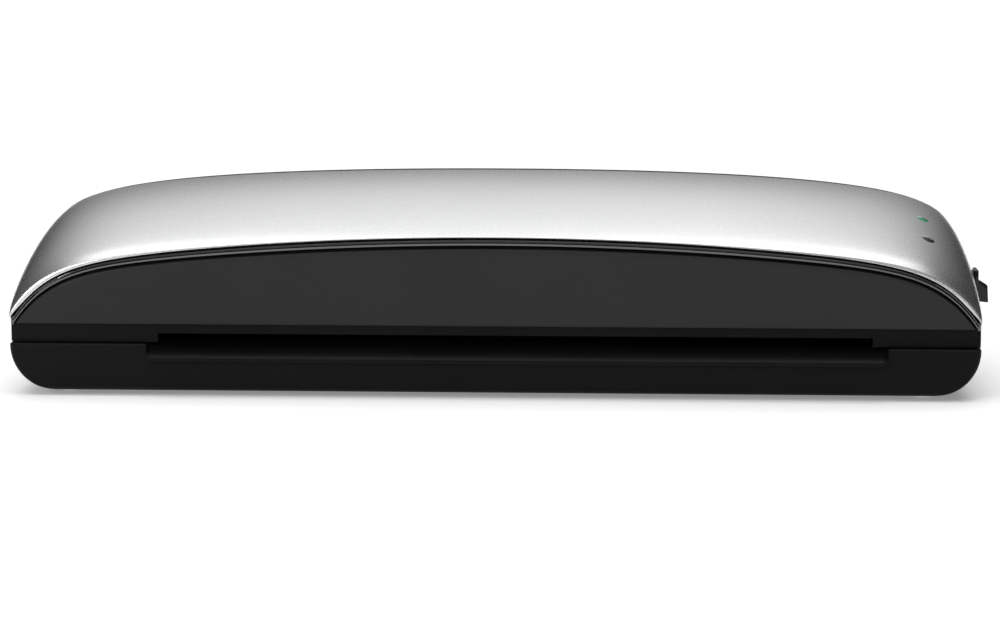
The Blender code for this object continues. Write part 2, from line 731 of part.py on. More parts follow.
def make_bushes(name, y, z, lower):
    """A flanged bush each side: in the frame for a lower roller, in the carriage for an upper."""
    wall = FRAME_OFFSET if lower else CARRIAGE_OFFSET
    for side, sign in (("left", -1), ("right", 1)):
        along = [wall - 1.6, wall - GAP, FRAME_OFFSET + FRAME_WALL + 0.4]
        flange, seat, end = [PATH_X + sign * offset for offset in along]
        bore = SHAFT_RADIUS + GAP
        profile = [(bore, flange), (6.4, flange), (6.4, seat), (BUSH_RADIUS, seat),
                   (BUSH_RADIUS, end), (bore, end)]
        add_piece(f"{name}_bush_{side}", turned("X", (y, z), profile, 12), white_nylon())


def make_drive(idler_phase):
    plane_b = PATH_X - FRAME_OFFSET - FRAME_WALL - 2 * GEAR_GAP - GEAR_WIDTH
    low, high = plane_b - GEAR_WIDTH, plane_b
    make_gear("idler_gear", IDLER_AXLE, IDLER_TEETH, idler_phase, low, high, white_nylon(),
              SHAFT_RADIUS + GAP)
    direction = toward(IDLER_AXLE, PINION_AXLE)
    phase = mesh_phase(PINION_TEETH, direction, IDLER_TEETH, idler_phase)
    pinion = make_gear("motor_pinion", PINION_AXLE, PINION_TEETH, phase, low, high, steel(), 0)
    join(pinion, cylinder("X", PINION_AXLE, 2.5, BRACKET_X[0], low + 1, 12))
    bracket = add_piece("motor_bracket", prism([(6, 42), (24, 26), (56, 26), (56, 70), (6, 66)],
                                               "X", *BRACKET_X), steel())
    reach = PATH_X - FRAME_OFFSET - FRAME_WALL - GAP
    join(bracket, box((BRACKET_X[0] + 0.7, 54.5, 28), (reach, 56, 44)),
         box((BRACKET_X[0] + 0.7, 8, 64), (reach, 30, 65.5)))
    cut(bracket, cylinder("X", PINION_AXLE, 8, BRACKET_X[0] - 2, BRACKET_X[1] + 2, 14))
    motor = add_piece("drive_motor", cylinder("X", PINION_AXLE, MOTOR_RADIUS, MOTOR_BACK_X,
                                              BRACKET_X[0] - GAP, 28), steel())
    join(motor, box((MOTOR_BACK_X + 2, 21, 18), (MOTOR_BACK_X + 14, 35, 30)))


def make_release():
    """The shaft across the back with an eccentric at each end, and the lever on it."""
    y, z = RELEASE_AXLE
    rest = -RELEASE_ANGLE / 2
    shaft = add_piece("release_shaft", cylinder("X", (y, z), SHAFT_RADIUS, -164.5, SHAFT_END_X, 14), steel(),
                      (0, y, z))
    cam = (y + CAM_THROW * math.cos(rest), z + CAM_THROW * math.sin(rest))
    for low, high in side_spans(CARRIAGE_OFFSET - 0.8, CARRIAGE_OFFSET + CARRIAGE_WALL).values():
        join(shaft, cylinder("X", cam, CAM_RADIUS, low, high, 18))
    lever = add_piece("release_lever", tube("X", (y, z), SHAFT_RADIUS + GAP, 7, 148, 160, 16),
                      gloss_black(), (0, y, z))
    sin, cos = math.sin(rest), math.cos(rest)
    arm = [(5.5, -2.2), (15, -2.2), (19, -3), (23.2, -2.2), (23.2, 1.4), (19, 2.2), (5.5, 2.2)]
    swung = [(y + u * cos - v * sin, z + u * sin + v * cos) for u, v in arm]
    join(lever, prism(swung, "X", 148.4, 159.6))


def main():
    for old in list(bpy.data.objects):
        bpy.data.objects.remove(old)
    make_top_cover()
    make_upper_casing()
    make_lower_casing()
    make_front_trim()
    make_front_panel()
    make_tray()
    make_exit_guide()
    make_feet()
    make_casing_screws()
    make_lights()
    make_switch()
    make_gland()
    make_board()
    make_frames()
    make_tie_bars()
    make_carriage()
    make_springs()
    make_heaters()
    idler_phase = make_rollers()
    make_drive(idler_phase)
    make_release()


main()
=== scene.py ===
"""Looks of the A3 pouch laminator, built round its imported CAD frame.

Shapes are worked out in millimetres and become metres in add_piece. X runs to the right,
Y to the back and Z up, as in the frame.
"""

import json
import math

import bmesh
import bpy
import numpy as np
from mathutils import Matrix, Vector


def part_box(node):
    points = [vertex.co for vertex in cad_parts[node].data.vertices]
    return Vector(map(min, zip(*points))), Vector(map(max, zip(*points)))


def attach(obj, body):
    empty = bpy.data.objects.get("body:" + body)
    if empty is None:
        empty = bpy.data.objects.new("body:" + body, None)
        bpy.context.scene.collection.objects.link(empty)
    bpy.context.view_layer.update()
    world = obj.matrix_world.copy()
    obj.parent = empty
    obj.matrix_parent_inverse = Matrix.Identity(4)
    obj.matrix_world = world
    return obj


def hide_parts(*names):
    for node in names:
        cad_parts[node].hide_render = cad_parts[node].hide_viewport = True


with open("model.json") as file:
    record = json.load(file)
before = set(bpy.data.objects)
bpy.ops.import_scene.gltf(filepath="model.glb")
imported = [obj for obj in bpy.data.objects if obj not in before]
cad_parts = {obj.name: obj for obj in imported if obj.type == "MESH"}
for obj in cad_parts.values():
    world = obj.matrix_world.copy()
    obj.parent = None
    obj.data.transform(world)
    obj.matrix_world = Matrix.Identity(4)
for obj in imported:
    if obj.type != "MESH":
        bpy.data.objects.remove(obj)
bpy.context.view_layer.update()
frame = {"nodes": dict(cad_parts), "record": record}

MM = 0.001
BODY = "housing"
CASING_X = (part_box("top_cover")[0][0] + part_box("top_cover")[1][0]) / 2 / MM


def low(node):
    """A node's lowest corner in millimetres, x counted from the casing's middle."""
    x, y, z = (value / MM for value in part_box(node)[0])
    return [x - CASING_X, y, z]


def high(node):
    """A node's highest corner, in the same way."""
    x, y, z = (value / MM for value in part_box(node)[1])
    return [x - CASING_X, y, z]


def middle(node):
    return [(a + b) / 2 for a, b in zip(low(node), high(node))]


# --- Sizes, read from the frame where it holds them ---------------------------------------

HALF_WIDTH = high("top_cover")[0]
FRONT_Y = low("top_cover")[1]
CREST_Y = high("top_cover")[1]
SKIRT_Z = low("top_cover")[2]
CREST_Z = high("top_cover")[2]
LEDGE_Y = low("lower_casing")[1]
BACK_Y = high("lower_casing")[1]
PARTING_Z = 24.4
FLOOR_Z = low("lower_casing")[2]
BACK_TOP_Z = 62.0
CREST_RISE = 20.3
SIDE_TAPER = 0.0267
BACK_CORNER = 16.0
BOTTOM_CORNER = 21.0
FRONT_SAG = 0.425
FRONT_DROP = 14
FRONT_SPREAD = 3.41
CREST_SPREAD = 2.16
CREST_SQUARENESS = 6.84
BLEND_POWER = 0.41
COVER_WALL = 2.0
COVER_LIP = 1.1
UNDER_COVER = 2.75
CASING_WALL = 2.5
GAP = 0.3
SWITCH_HALF = 8.4
SWITCH_HOLE_HALF = 4.9
LENS_HOLE = 2.9
LENS_WELL = 3.6
TRAY_CORNER = 3.4
RECESS_Y = low("upper_casing")[1]
PANEL_HALF = high("front_panel")[0]
PANEL_BOTTOM_Z = low("front_panel")[2]
PANEL_TOP_Z = high("front_panel")[2]
PATH_LEFT = low("exit_guide")[0]
PATH_RIGHT = high("exit_guide")[0]
MOUTH_Z = 28.8
EXIT_Z = 29.5


# --- Form of the body, as the CAD part has it, on a finer mesh ----------------------------

def depth_share(y):
    return (y - FRONT_Y) / (CREST_Y - FRONT_Y)


def half_width(y):
    half = HALF_WIDTH * (1 - SIDE_TAPER * max(depth_share(y), 0) ** 2)
    past = y - (BACK_Y - BACK_CORNER)
    if past > 0:
        half -= BACK_CORNER - math.sqrt(max(BACK_CORNER ** 2 - past ** 2, 0))
    return half


def top_z(y):
    """Height of the body's middle line: rising to the crest, then falling in a round shoulder."""
    if y <= CREST_Y:
        return CREST_Z - CREST_RISE * (1 - depth_share(y)) ** 2
    share = min((y - CREST_Y) / (BACK_Y - CREST_Y), 1)
    return BACK_TOP_Z + (CREST_Z - BACK_TOP_Z) * (1 - share ** 2.6) ** (1 / 1.8)


def arch(half, base, top, blend, count):
    """Points (x, z) of an arch from left to right, closer where it turns more.

    Blend 0 is the form of the front edge, an even curve that falls away at its two ends, and
    blend 1 that of the crest, a superellipse.
    """
    angle = np.linspace(-math.pi / 2, math.pi / 2, 801)
    spread = FRONT_SPREAD + (CREST_SPREAD - FRONT_SPREAD) * blend
    across = np.sign(angle) * np.abs(np.sin(angle)) ** (2 / spread)
    front = 1 - FRONT_SAG * across ** 2 - (1 - FRONT_SAG) * across ** FRONT_DROP
    crest = np.clip(np.cos(angle), 0, 1) ** (2 / CREST_SQUARENESS)
    x = half * across
    z = base + (top - base) * (front + (crest - front) * blend)
    steps = np.hypot(np.diff(x), np.diff(z))
    heading = np.unwrap(np.arctan2(np.diff(z), np.diff(x)))
    turns = np.abs(np.diff(heading, prepend=heading[0])) / math.pi
    reached = np.concatenate(([0], np.cumsum(steps / steps.sum() + turns)))
    goals = np.linspace(0, reached[-1], count)
    return np.stack([np.interp(goals, reached, x), np.interp(goals, reached, z)], axis=-1)


def body_arch(y, inset, count, base):
    blend = min(max(depth_share(y), 0), 1) ** BLEND_POWER
    return arch(half_width(y) - inset, base, top_z(y) - inset, blend, count)


def quarter(centre, radius, start, steps):
    """Points of a quarter circle from the start angle, in degrees, anticlockwise."""
    angles = [math.radians(start + 90 * i / steps) for i in range(steps + 1)]
    return [(centre[0] + radius * math.cos(a), centre[1] + radius * math.sin(a)) for a in angles]


# --- Mesh building ------------------------------------------------------------------------

CREASE = 30    # degrees between faces that stay smooth


def loft(rings, capped=True):
    """A solid through rings of equal count, capped at both ends."""
    count = len(rings[0])
    points = [tuple(point) for ring in rings for point in ring]
    faces = []
    if capped:
        faces = [tuple(range(count)), tuple(range(len(points) - count, len(points)))]
    for r in range(len(rings) - 1):
        for i in range(count):
            j = (i + 1) % count
            faces.append((r * count + i, r * count + j, (r + 1) * count + j, (r + 1) * count + i))
    return points, faces


def on_axis(axis, along, u, v):
    return {"X": (along, u, v), "Y": (u, along, v), "Z": (u, v, along)}[axis]


def prism(outline, axis, start, end):
    return loft([[on_axis(axis, at, u, v) for u, v in outline] for at in (start, end)])


def box(lowest, highest):
    (x0, y0, z0), (x1, y1, z1) = lowest, highest
    return prism([(x0, y0), (x1, y0), (x1, y1), (x0, y1)], "Z", z0, z1)


def circle(centre, radius, sides):
    turn = 2 * math.pi / sides
    return [(centre[0] + radius * math.cos(turn * i), centre[1] + radius * math.sin(turn * i))
            for i in range(sides)]


def cylinder(axis, centre, radius, start, end, sides=48):
    return prism(circle(centre, radius, sides), axis, start, end)


def turned(axis, centre, profile, sides=48):
    """A ring turned about an axis from a closed profile of (radius, along) corners."""
    rings = []
    for i in range(sides + 1):
        angle = 2 * math.pi * i / sides
        rings.append([on_axis(axis, along, centre[0] + radius * math.cos(angle),
                              centre[1] + radius * math.sin(angle)) for radius, along in profile])
    return loft(rings, capped=False)


def together(*shapes):
    points, faces = [], []
    for shape_points, shape_faces in shapes:
        start = len(points)
        points += shape_points
        faces += [tuple(start + index for index in face) for face in shape_faces]
    return points, faces


def add_piece(name, shape, look=None, crease=CREASE):
    """One object with its mesh in metres, outward faces and smooth shading up to the crease."""
    points, faces = shape
    mesh = bpy.data.meshes.new(name)
    places = [((float(x) + CASING_X) * MM, float(y) * MM, float(z) * MM) for x, y, z in points]
    mesh.from_pydata(places, [], faces)
    built = bmesh.new()
    built.from_mesh(mesh)
    bmesh.ops.remove_doubles(built, verts=built.verts, dist=1e-6)
    bmesh.ops.recalc_face_normals(built, faces=built.faces)
    built.to_mesh(mesh)
    built.free()
    mesh.shade_smooth()
    mesh.set_sharp_from_angle(angle=math.radians(crease))
    if look:
        mesh.materials.append(look)
    piece = bpy.data.objects.new(name, mesh)
    bpy.context.scene.collection.objects.link(piece)
    return piece


def settle(piece):
    """Applies the piece's modifiers and shades the result again."""
    graph = bpy.context.evaluated_depsgraph_get()
    mesh = bpy.data.meshes.new_from_object(piece.evaluated_get(graph))
    piece.modifiers.clear()
    piece.data = mesh
    mesh.shade_smooth()
    mesh.set_sharp_from_angle(angle=math.radians(CREASE))


def change(piece, shape, operation="DIFFERENCE"):
    helper = add_piece("helper", shape)
    modifier = piece.modifiers.new("change", "BOOLEAN")
    modifier.operation = operation
    modifier.object = helper
    modifier.solver = "EXACT"
    settle(piece)
    bpy.data.objects.remove(helper)


def bevel(piece, width, segments=3, angle=40):
    modifier = piece.modifiers.new("bevel", "BEVEL")
    modifier.width = width * MM
    modifier.segments = segments
    modifier.limit_method = "ANGLE"
    modifier.angle_limit = math.radians(angle)
    modifier.harden_normals = False
    settle(piece)


def stand_for(piece, slot, *nodes, body=BODY):
    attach(piece, body)
    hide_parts(*nodes)


# --- Materials ----------------------------------------------------------------------------

def shader_of(name):
    made = bpy.data.materials.new(name)
    made.use_nodes = True
    return made, made.node_tree.nodes, made.node_tree.links, made.node_tree.nodes["Principled BSDF"]


def noise(nodes, links, scale, detail=3.0, stretch=None):
    """A noise texture in object coordinates; scale is in features per metre."""
    where = nodes.new("ShaderNodeTexCoord")
    texture = nodes.new("ShaderNodeTexNoise")
    texture.inputs["Scale"].default_value = scale
    texture.inputs["Detail"].default_value = detail
    source = where.outputs["Object"]
    if stretch:
        mapping = nodes.new("ShaderNodeMapping")
        mapping.inputs["Scale"].default_value = stretch
        links.new(source, mapping.inputs["Vector"])
        source = mapping.outputs["Vector"]
    links.new(source, texture.inputs["Vector"])
    return texture.outputs["Fac"]


def spread(nodes, links, value, lowest, highest):
    """Maps the middle of a noise onto a range of numbers."""
    ranged = nodes.new("ShaderNodeMapRange")
    ranged.inputs["From Min"].default_value = 0.3
    ranged.inputs["From Max"].default_value = 0.7
    ranged.inputs["To Min"].default_value = lowest
    ranged.inputs["To Max"].default_value = highest
    links.new(value, ranged.inputs["Value"])
    return ranged.outputs["Result"]


def tint(nodes, links, value, dark, light):
    """Mixes two colours by a noise."""
    mixed = nodes.new("ShaderNodeMix")
    mixed.data_type = "RGBA"
    links.new(spread(nodes, links, value, 0, 1), mixed.inputs["Factor"])
    mixed.inputs["A"].default_value = (*dark, 1)
    mixed.inputs["B"].default_value = (*light, 1)
    return mixed.outputs["Result"]


def surface(name, dark, light, roughness, grain=(1500, 0.02), patch=18, metallic=0.0,
            specular=0.5, coat=0.0, coat_roughness=0.1, stretch=None):
    """A finish whose colour and roughness vary in soft patches, with a fine grain in relief."""
    made, nodes, links, shader = shader_of(name)
    patches = noise(nodes, links, patch, 4.0)
    links.new(tint(nodes, links, patches, dark, light), shader.inputs["Base Color"])
    fine = noise(nodes, links, grain[0], 2.0, stretch)
    rough = spread(nodes, links, fine, roughness[0], roughness[1])
    links.new(rough, shader.inputs["Roughness"])
    relief = nodes.new("ShaderNodeBump")
    relief.inputs["Strength"].default_value = grain[1]
    relief.inputs["Distance"].default_value = 0.0003
    links.new(fine, relief.inputs["Height"])
    links.new(relief.outputs["Normal"], shader.inputs["Normal"])
    shader.inputs["Metallic"].default_value = metallic
    shader.inputs["Specular IOR Level"].default_value = specular
    shader.inputs["Coat Weight"].default_value = coat
    shader.inputs["Coat Roughness"].default_value = coat_roughness
    return made


def lens_material(name, colour, glow):
    """A tinted light pipe: frosted inside, glossy outside, a little light in its middle."""
    made, nodes, links, shader = shader_of(name)
    cloud = noise(nodes, links, 900, 2.0)
    dark = tuple(0.7 * c for c in colour)
    links.new(tint(nodes, links, cloud, dark, colour), shader.inputs["Base Color"])
    links.new(spread(nodes, links, cloud, 0.12, 0.2), shader.inputs["Roughness"])
    shader.inputs["Transmission Weight"].default_value = 0.3
    shader.inputs["IOR"].default_value = 1.49
    shader.inputs["Emission Color"].default_value = (*colour, 1)
    shader.inputs["Emission Strength"].default_value = glow
    return made


LOOKS = {
    "silver_cover": surface("silver_paint", (0.60, 0.605, 0.61), (0.65, 0.65, 0.655), (0.24, 0.32),
                            (2600, 0.05), 9, metallic=0.95, coat=0.1, coat_roughness=0.25),
    "gloss_black": surface("gloss_black_plastic", (0.003, 0.003, 0.0033), (0.005, 0.005, 0.0054),
                           (0.1, 0.18), (700, 0.01), 25, specular=0.3),
    "matt_black": surface("matt_black_plastic", (0.002, 0.002, 0.0021), (0.0035, 0.0035, 0.0036),
                          (0.34, 0.44), (1700, 0.2), 22, specular=0.1),
    "panel_grey": surface("panel_plastic", (0.018, 0.018, 0.0185), (0.023, 0.023, 0.0235),
                          (0.38, 0.46), (2200, 0.08), 7, specular=0.15),
    "black_rubber": surface("foot_rubber", (0.008, 0.008, 0.008), (0.015, 0.015, 0.015),
                            (0.7, 0.9), (900, 0.4), 60, specular=0.3),
    "steel": surface("zinc_plated_steel", (0.42, 0.43, 0.45), (0.58, 0.59, 0.6), (0.25, 0.42),
                     (500, 0.1), 40, metallic=1.0),
    "aluminium": surface("extruded_aluminium", (0.6, 0.6, 0.61), (0.74, 0.74, 0.75), (0.28, 0.45),
                         (900, 0.12), 30, metallic=1.0, stretch=(0.03, 1, 1)),
    "silicone_sleeve": surface("silicone_rubber", (0.018, 0.018, 0.019), (0.03, 0.03, 0.031), (0.5, 0.7),
                               (700, 0.15), 35, specular=0.4),
    "white_nylon": surface("nylon", (0.66, 0.64, 0.57), (0.78, 0.76, 0.7), (0.35, 0.5),
                           (600, 0.08), 50, specular=0.5),
    "circuit_board": surface("circuit_board", (0.01, 0.09, 0.03), (0.03, 0.16, 0.06), (0.3, 0.5),
                             (400, 0.1), 250, specular=0.5),
    "amber_film": surface("heater_film", (0.4, 0.16, 0.02), (0.58, 0.26, 0.05), (0.25, 0.4),
                          (300, 0.1), 120, specular=0.5),
    "green_lens": lens_material("green_lens_plastic", (0.008, 0.26, 0.1), 0.25),
    "red_lens": lens_material("red_lens_plastic", (0.02, 0.002, 0.004), 0.01),
}
# The trim is more polished than the other gloss parts.
TRIM_LOOK = surface("polished_black_plastic", (0.003, 0.003, 0.0033), (0.005, 0.005, 0.0054),
                    (0.07, 0.12), (700, 0.01), 25, specular=1.0, coat=1.0)


def paint_frame():
    """Gives every CAD node that stays in view the finish of its slot."""
    for entry in frame["record"]["subparts"]:
        node = frame["nodes"][entry["node"]]
        node.data.materials.clear()
        node.data.materials.append(LOOKS[entry["material_slot"]])


# --- Covers and casing --------------------------------------------------------------------

ARCH_POINTS = 181


def sweep_arch(profile, base):
    """A closed profile of (depth, inset) corners carried along the body's arch."""
    rows = [body_arch(y, inset, ARCH_POINTS, base) for y, inset in profile]
    return loft([[(rows[k][i][0], profile[k][0], rows[k][i][1]) for k in range(len(profile))]
                 for i in range(ARCH_POINTS)])


def make_top_cover():
    """The silver cover: a thin shell whose front edge is rolled over a small radius."""
    nose = 0.35
    reach = CREST_Y - FRONT_Y - nose
    outer = [(FRONT_Y + nose + reach * (i / 44) ** 1.7, 0) for i in range(44, 0, -1)]
    centre = (FRONT_Y + nose, -nose)
    roll = quarter(centre, nose, 90, 4) + quarter(centre, nose, 180, 4)[1:]
    lip = [(y, -inset) for y, inset in roll]
    inner = [(y, COVER_LIP if y < -66 else COVER_WALL)
             for y in (-69, -68, -66.5, -64, -60, -54, -46, -36, -24, -10, 8, CREST_Y)]
    cover = add_piece("silver_cover", sweep_arch(outer + lip + inner, SKIRT_Z), LOOKS["silver_cover"])
    holes = []
    for node in ("ready_lens", "power_lens"):
        holes.append(cylinder("Z", middle(node)[:2], LENS_HOLE, 50, 100))
    holes.append(switch_hole(205, 240))
    change(cover, together(*holes))
    stand_for(cover, "silver_cover", "top_cover")


def switch_centre():
    return middle("switch_housing")[1:]


def switch_hole(start, end):
    """A block to cut the switch's hole with, from one x to another."""
    y, z = switch_centre()
    across, up = SWITCH_HOLE_HALF, SWITCH_HALF + GAP
    return box((start, y - across, z - up), (end, y + across, z + up))


def casing_ring(y, inset, base, foot, pinch=0.0):
    """One ring of the upper casing: straight skirt below, arch above."""
    half = half_width(y) - pinch
    ledge = half_width(y) - inset
    points = body_arch(y, inset, 141, base)
    left = [(-half, y, foot), (-half, y, base - 0.4), (-half + 0.4, y, base), (-ledge, y, base + 0.01)]
    if inset < 1:
        left = [(-half, y, foot), (-half, y, base - 0.4), (-half, y, base - 0.2), (-half, y, base - 0.1)]
    right = [(-x, y_, z) for x, y_, z in reversed(left)]
    return left + [(x, y, z) for x, z in points[1:-1]] + right


def make_upper_casing():
    """The black upper casing: hidden under the silver cover, the outside itself behind it."""
    base = SKIRT_Z - GAP
    foot = PARTING_Z + GAP
    corner = 1.6
    rings = []
    for y, pinch in quarter((RECESS_Y + corner, corner), -corner, 0, 5):
        rings.append(casing_ring(y, UNDER_COVER, base, foot, pinch))
    rings += [casing_ring(y, UNDER_COVER, base, foot)
              for y in (-62, -58, -50, -42, -32, -20, -8, 6, CREST_Y - 6, CREST_Y + 0.25)]
    rings.append(casing_ring(CREST_Y + 0.27, 0.3, base, foot))
    rings.append(casing_ring(CREST_Y + 0.5, 0.05, base, foot))
    reach = BACK_Y - CREST_Y
    for i in range(1, 45):
        share = math.sin(math.pi / 2 * i / 44)
        rings.append(casing_ring(CREST_Y + 0.5 + (reach - 0.5) * share, 0.0, base, foot))
    casing = add_piece("upper_housing", loft(rings), LOOKS["matt_black"])
    hollow = []
    front = UNDER_COVER + COVER_WALL
    walls = [(y, front) for y in (-64, -60, -54, -44, -30, -14, 6, CREST_Y)]
    walls += [(y, CASING_WALL) for y in (34, 46, 56, 63, BACK_Y - CASING_WALL)]
    for y, wall in walls:
        half = half_width(y) - wall
        points = body_arch(y, wall, 61, SKIRT_Z)
        hollow.append([(-half, y, 20)] + [(x, y, z) for x, z in points] + [(half, y, 20)])
    change(casing, loft(hollow))
    cuts = [box((PATH_LEFT, -80, 20), (PATH_RIGHT, -60, MOUTH_Z)),
            box((PATH_LEFT, 60, 20), (PATH_RIGHT, 80, EXIT_Z)),
            box((146, 60, 36), (162, 80, 63)),
            switch_hole(200, 235)]
    cuts += [prism([(x, 40), (x + 3, 40), (x + 3, 54), (x, 54)], "Y", 60, 80)
             for x in range(-130, -50, 8)]
    for node in ("ready_lens", "power_lens"):
        cuts.append(cylinder("Z", middle(node)[:2], LENS_WELL, 50, 100))
    change(casing, together(*cuts))
    stand_for(casing, "matt_black", "upper_casing")


def tub_outline(z, inset, side_extra):
    """A plan of the lower casing at height z: straight front, tapering sides, round corners."""
    corner = 2.5
    half_front = half_width(LEDGE_Y) - inset - side_extra
    points = []
    front = LEDGE_Y + inset
    for x, y in quarter((half_front - corner, front + corner), corner, 270, 6):
        points.append((x, y))
    for i in range(1, 15):
        y = front + corner + (BACK_Y - BACK_CORNER - front - corner) * i / 15
        points.append((half_width(y) - inset - side_extra, y))
    back = BACK_Y - inset
    half_back = half_width(BACK_Y - BACK_CORNER) - side_extra
    for x, y in quarter((half_back - BACK_CORNER, back - (BACK_CORNER - inset)), BACK_CORNER - inset, 0, 14):
        points.append((x, y))
    whole = points + [(-x, y) for x, y in reversed(points)]
    return [(x, y, z) for x, y in whole]


def make_lower_casing():
    """The tub: round bottom corners at the two ends, a small radius in front and at the ledge."""
    loops = []
    steps = 16
    for i in range(steps + 1):
        angle = math.pi / 2 * i / steps
        z = FLOOR_Z + BOTTOM_CORNER * (1 - math.cos(angle))
        side = BOTTOM_CORNER * (1 - math.sin(angle))
        edge = 3.0
        rise = min((z - FLOOR_Z) / edge, 1)
        inset = edge * (1 - math.sqrt(max(1 - (1 - rise) ** 2, 0)))
        loops.append(tub_outline(z, inset, max(side - inset, 0)))
    for drop, inset in ((0.55, 0), (0.5, 0.03), (0.06, 0.47), (0, 0.55)):
        loops.append(tub_outline(PARTING_Z - drop, inset, 0))
    loops.append(tub_outline(PARTING_Z, 4.8, 0))
    for z, side in ((FLOOR_Z + BOTTOM_CORNER, 0), (14, 1.8), (9, 7), (FLOOR_Z + CASING_WALL, 17)):
        loops.append(tub_outline(z, 4.8, side))
    tub = add_piece("lower_housing", loft(loops), LOOKS["matt_black"])
    tray_low, tray_high = low("entry_tray"), high("entry_tray")
    notch_low, notch_left, notch_right = tray_low[2] - 0.4, tray_low[0] - 0.4, tray_high[0] + 0.4
    radius = TRAY_CORNER + 0.4
    outline = [(notch_left, 40)]
    outline += [(x, z) for x, z in quarter((notch_left + radius, notch_low + radius), radius, 180, 8)]
    outline += [(x, z) for x, z in quarter((notch_right - radius, notch_low + radius), radius, 270, 8)]
    outline += [(notch_right, 40)]
    notch = prism(outline, "Y", -80, -60)
    exit_notch = box((PATH_LEFT - 3, 62, 19.4), (PATH_RIGHT + 3, 80, 40))
    gland = middle("cable_gland")
    gland_hole = cylinder("Y", (gland[0], gland[2]), 6.3, 60, 80)
    vents = [box((x, 10, 0), (x + 3, 40, 8)) for x in range(-110, -46, 8)]
    wells = []
    for place in ("front_left", "front_right", "rear_left", "rear_right"):
        centre = middle(f"casing_screw_{place}")
        wells.append(cylinder("Z", centre[:2], 3.9, 0, 3.6))
        wells.append(cylinder("Z", centre[:2], 2.1, 3.5, 9))
    change(tub, together(notch, exit_notch, gland_hole, *vents))
    change(tub, together(*wells[0::2]))
    change(tub, together(*wells[1::2]))
    stand_for(tub, "matt_black", "lower_casing")


def make_front_trim():
    """The gloss black band round the panel: a land, a lit step, a bead and a deep groove."""
    count = ARCH_POINTS
    outer = body_arch(FRONT_Y, COVER_LIP + 0.25, count, SKIRT_Z)
    inner = arch(PANEL_HALF + 0.25, PANEL_BOTTOM_Z, PANEL_TOP_Z + 0.25, 0, count)
    foot, shoulder = PANEL_BOTTOM_Z - 0.6, SKIRT_Z - GAP
    half, side = HALF_WIDTH, PANEL_HALF + 0.25
    outer = ([(-half, foot), (-half, shoulder - 0.4), (-half + 0.3, shoulder)] + list(map(tuple, outer))
             + [(half - 0.3, shoulder), (half, shoulder - 0.4), (half, foot)])
    inner = ([(-side, foot), (-side, foot + 0.2), (-side, foot + 0.4)] + list(map(tuple, inner))
             + [(side, foot + 0.4), (side, foot + 0.2), (side, foot)])
    profile = [(0, -65.4), (0, -66.2), (0.16, -67.36), (0.18, -67.4), (0.38, -67.44), (0.4, -67.46),
               (0.49, -68.1), (0.51, -68.15), (0.69, -68.15), (0.71, -68.05), (0.98, -66.1),
               (1, -66.1), (1, -65.4)]
    rings = []
    for (x0, z0), (x1, z1) in zip(outer, inner):
        rings.append([(x0 + (x1 - x0) * s, y, z0 + (z1 - z0) * s) for s, y in profile])
    trim = add_piece("arch_trim", loft(rings), TRIM_LOOK, 25)
    stand_for(trim, "gloss_black", "front_trim")


def make_front_panel():
    """The matt panel, its outline rounded over into its rim."""
    back = high("front_panel")[1]
    rings = []
    for inset, y in ((0, back), (0, -69.1), (0.1, -69.4), (0.3, -69.6), (0.6, -69.7), (3, -69.7)):
        outline = arch(PANEL_HALF - inset, PANEL_BOTTOM_Z + inset * 0.6, PANEL_TOP_Z - inset, 0, ARCH_POINTS)
        rings.append([(x, y, z) for x, z in outline])
    panel = add_piece("panel_plate", loft(rings), LOOKS["panel_grey"])
    stand_for(panel, "panel_grey", "front_panel")


def make_tray():
    """The entry tray: a rolled lip whose ends turn up, a ramp and a flat guide behind it."""
    lowest, highest = low("entry_tray"), high("entry_tray")
    lip = lowest[1]
    profile = [(lip, 18.5), (lip, 17.5), (lip + 0.3, 16.9), (lip + 1, 16.5), (lip + 2, 16.4), (-66, 16.4),
               (-66, 18), (-72.8, 18.2), (-72.5, 19), (-68, 21), (-60, 22.4), (-57, 22.4), (-57, 24.2),
               (-60, 24.2), (-64, 23.9), (-69, 22.8), (-74.6, 19.9), (lip + 0.85, 19.4),
               (lip + 0.7, 19.25), (lip + 0.1, 18.7)]
    rings = []
    for end, way in ((lowest[0], 1), (highest[0], -1)):
        ring_set = []
        for i in range(10):
            angle = math.pi / 2 * i / 9
            along = TRAY_CORNER * (1 - math.cos(angle))
            rise = TRAY_CORNER * (1 - math.sin(angle))
            ring = []
            for y, z in profile:
                share = min(max((-67 - y) / 5, 0), 1)
                ring.append((end + way * along, max(y, lip + 0.6 * rise), z + rise * share))
            ring_set.append(ring)
        rings += ring_set if way == 1 else ring_set[::-1]
    tray = add_piece("tray_lip", loft(rings), LOOKS["matt_black"])
    change(tray, box((PATH_LEFT + 0.6, -60, 22.4), (PATH_RIGHT - 0.6, highest[1], 24.2)), "UNION")
    stand_for(tray, "matt_black", "entry_tray")


def make_exit_guide():
    lowest, highest = low("exit_guide"), high("exit_guide")
    profile = [(44, 22.4), (44, 23.6), (66, 23.4), (70, 22.9), (72.2, 22.2), (72.8, 21.7), (73, 21),
               (72.9, 20.4), (72.4, 20), (66, 20), (66, 21.4)]
    guide = add_piece("exit_lip", prism(profile, "X", lowest[0], highest[0]), LOOKS["matt_black"])
    bevel(guide, 0.3, 2)
    stand_for(guide, "matt_black", "exit_guide")


# --- Small outside pieces -----------------------------------------------------------------

